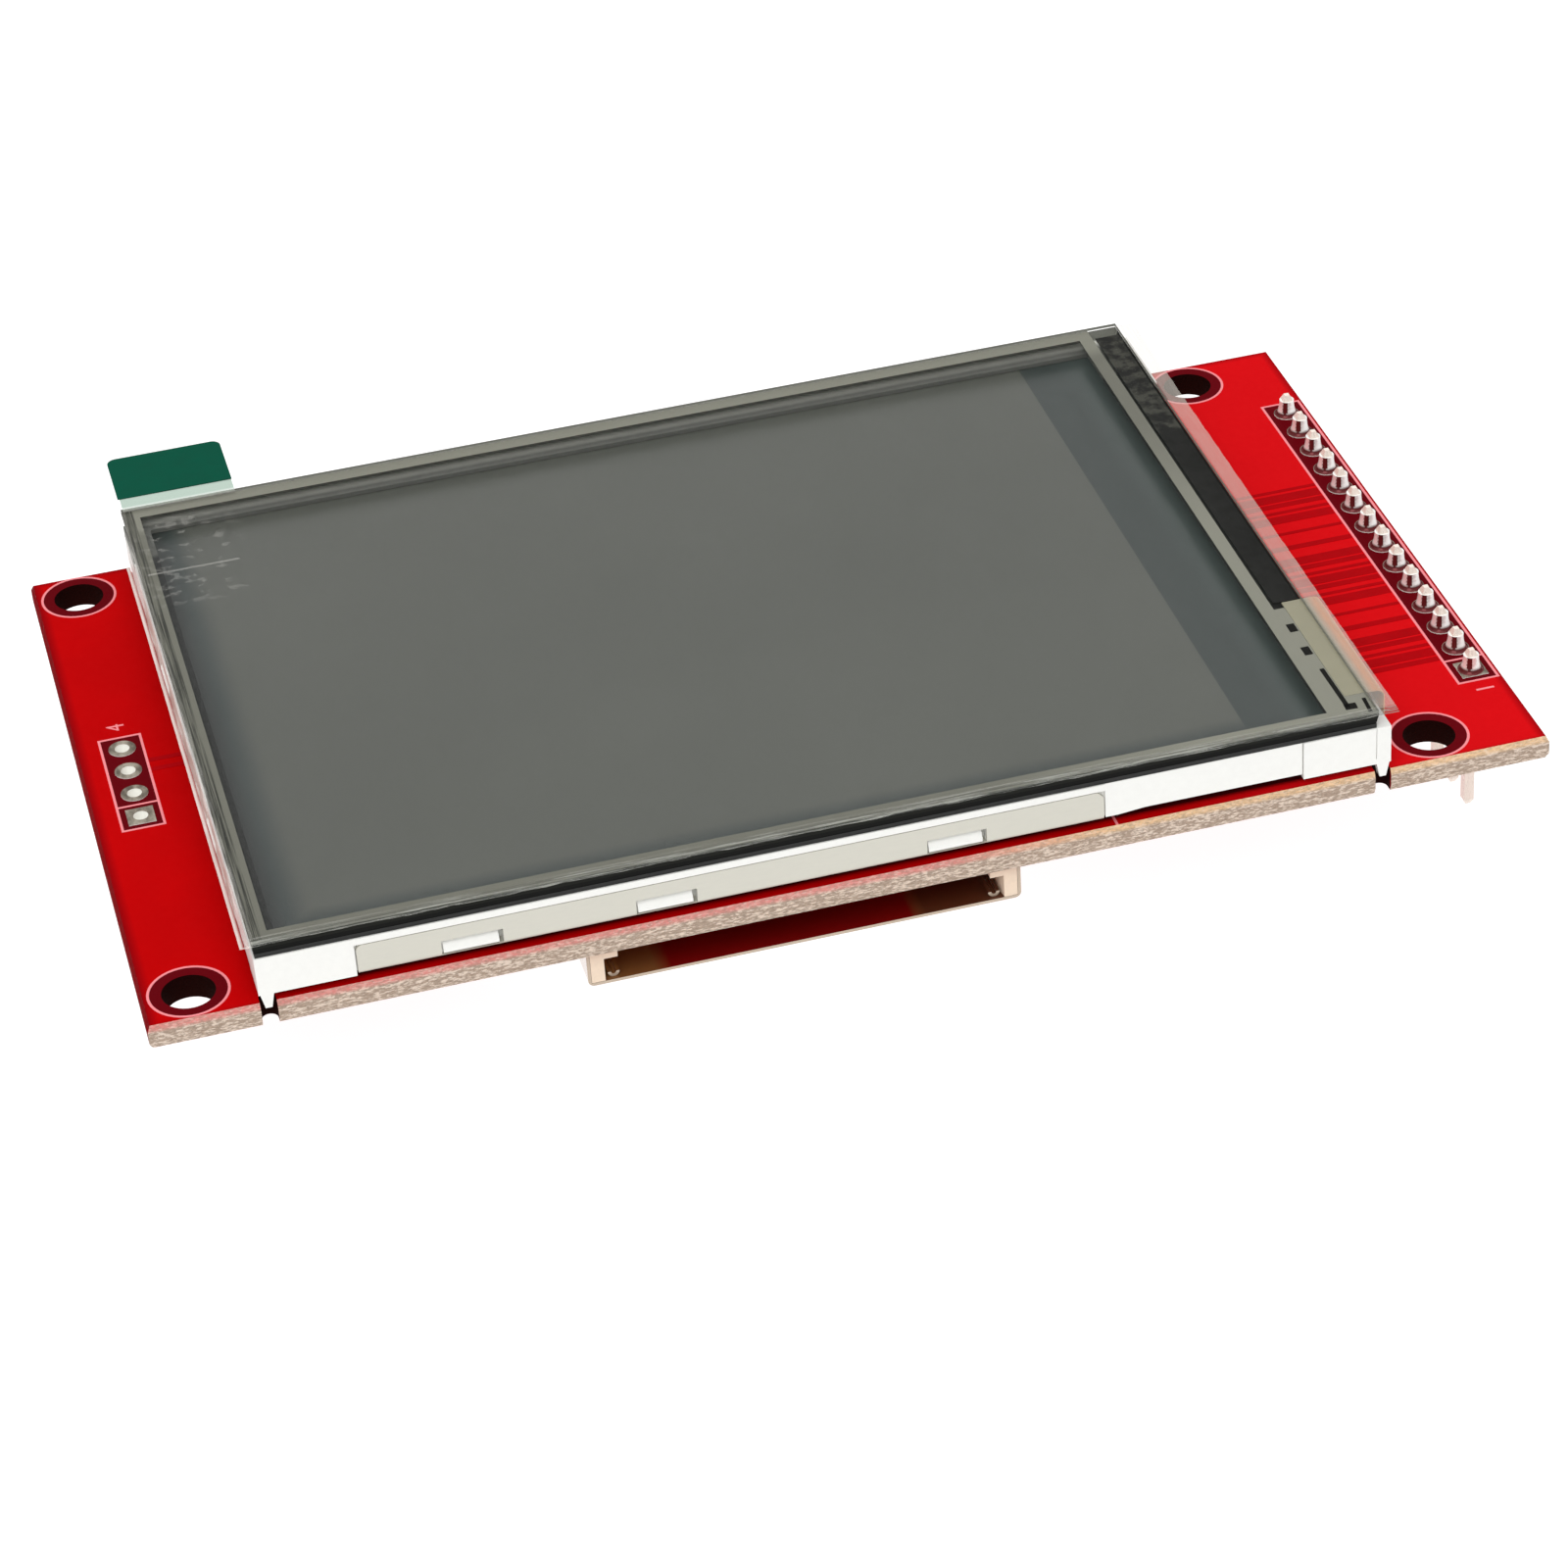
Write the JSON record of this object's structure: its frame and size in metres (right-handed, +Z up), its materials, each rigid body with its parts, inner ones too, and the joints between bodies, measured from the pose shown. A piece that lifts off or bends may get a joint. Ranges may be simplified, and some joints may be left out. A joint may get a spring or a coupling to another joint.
{
  "type": "tft display module",
  "caption": "Colour display with a touch panel, taped to a red circuit board with a row of header pins, mounting holes, empty plated holes and a memory card socket underneath.",
  "frame": {"origin": "middle of the four mounting holes, on the underside of the circuit board, where it sits on its standoffs", "axes": "+X along the board towards the pin header, +Y from the card slot's edge to the pull tab's edge, +Z up through the screen"},
  "size_m": [0.086, 0.0566, 0.0146],
  "materials": {
    "red_board": "gloss",
    "board_ink": "satin",
    "tin_plate": "satin",
    "black_plastic": "satin",
    "pin_metal": "polished",
    "solder": "polished",
    "foam_tape": "matte",
    "tray_steel": "satin",
    "white_plastic": "satin",
    "optical_sheet": "satin",
    "light_guide": "gloss",
    "amber_flex": "satin",
    "diode": "gloss",
    "black_tape": "matte",
    "polariser": "gloss",
    "cell_glass": "polished",
    "silicon_chip": "polished",
    "touch_glass": "polished",
    "touch_film": "gloss",
    "border_ink": "satin",
    "edge_strip": "satin",
    "clear_film": "gloss",
    "green_tab": "gloss",
    "socket_plastic": "satin",
    "socket_steel": "satin",
    "contact_gold": "polished",
    "resistor_body": "satin",
    "capacitor_body": "satin"
  },
  "bodies": {
    "root": {"board": "red_board", "board_print": "board_ink", "plated_holes": "tin_plate", "header_strip": "black_plastic", "header_pins": "pin_metal", "solder_joints": "solder", "mounting_tape": "foam_tape", "backlight_tray": "tray_steel", "backlight_frame": "white_plastic", "reflector_sheet": "optical_sheet", "light_guide": "light_guide", "diffuser_sheet": "optical_sheet", "lower_prism_sheet": "optical_sheet", "upper_prism_sheet": "optical_sheet", "light_strip": "amber_flex", "light_diodes": "diode", "rim_tape": "black_tape", "rear_polariser": "polariser", "rear_glass": "cell_glass", "front_glass": "cell_glass", "front_polariser": "polariser", "driver_chip": "silicon_chip", "display_flex": "amber_flex", "touch_tape": "black_tape", "touch_glass": "touch_glass", "touch_spacer": "border_ink", "touch_edge_strip": "edge_strip", "touch_flex": "amber_flex", "touch_film": "touch_film", "cover_film": "clear_film", "pull_tab": "green_tab", "socket_base": "socket_plastic", "socket_shell": "socket_steel", "socket_contacts": "contact_gold", "touch_controller": "black_plastic", "controller_leads": "tin_plate", "regulator": "black_plastic", "regulator_leads": "tin_plate", "backlight_switch": "black_plastic", "switch_leads": "tin_plate", "resistors": "resistor_body", "capacitors": "capacitor_body", "end_caps": "tin_plate"}
  },
  "joints": []
}
